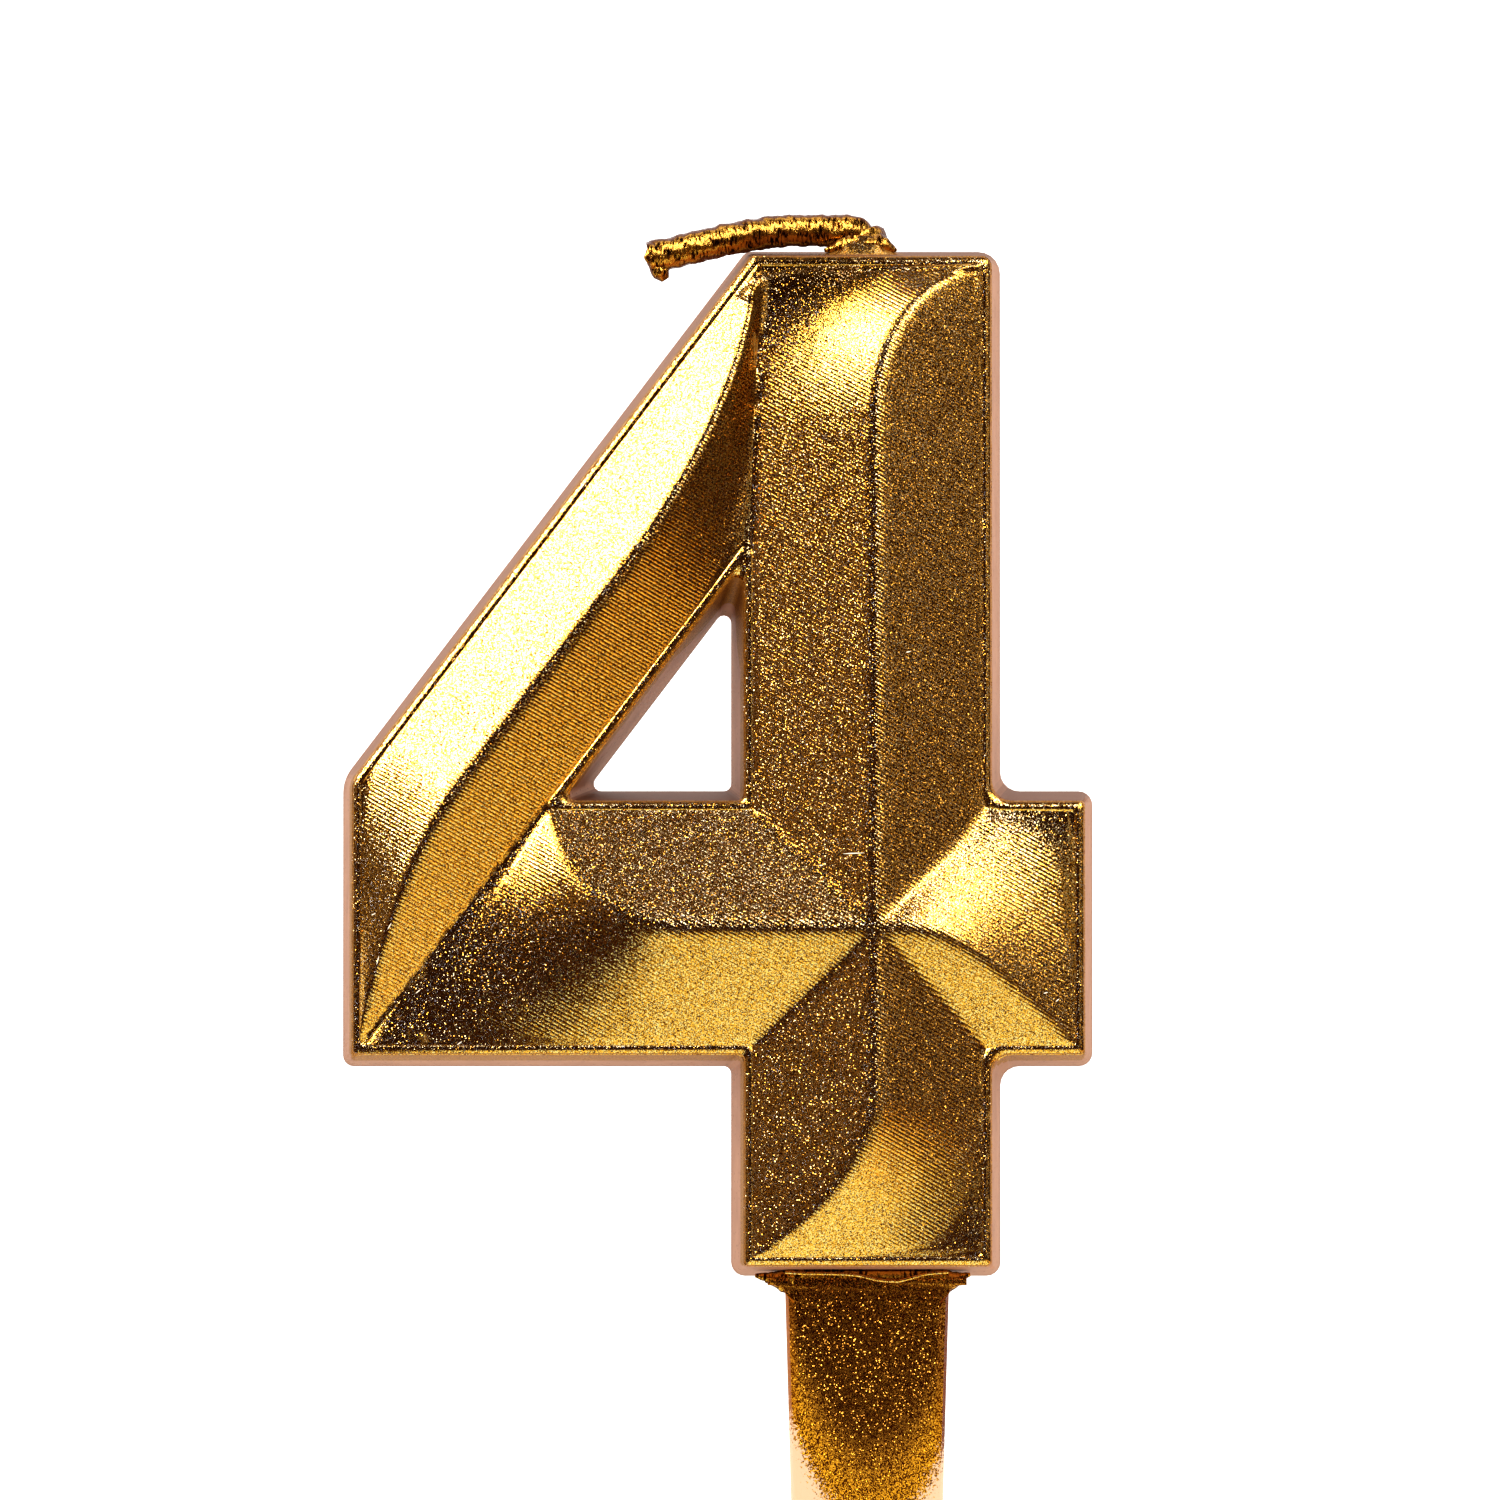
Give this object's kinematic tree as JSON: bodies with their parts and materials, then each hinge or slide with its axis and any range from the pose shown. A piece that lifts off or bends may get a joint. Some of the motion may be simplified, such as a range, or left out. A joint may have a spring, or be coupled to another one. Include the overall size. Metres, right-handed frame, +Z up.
{
  "type": "number candle",
  "caption": "Cast wax number candle in the shape of a figure four, with a chiselled metallic face, a short bent wick and a flat plastic pick for a cake.",
  "frame": {"origin": "under the middle of the stem, in the middle plane of the pick, where the pick leaves the wax", "axes": "+Z up the stem, +X to the reader's right, -Y out of the chiselled face"},
  "size_m": [0.0512, 0.0119, 0.1221],
  "materials": {
    "gold_wax": "moulded paraffin wax under a vacuum-metallised gold coat, bare rose-tan walls",
    "coated_cotton": "braided cotton stiffened with wax and covered by the gold coat",
    "pick_plastic": "translucent cream moulding with gold overspray near the wax"
  },
  "bodies": {
    "root": {"numeral_body": "gold_wax", "wick": "coated_cotton", "pick": "pick_plastic"}
  },
  "joints": []
}
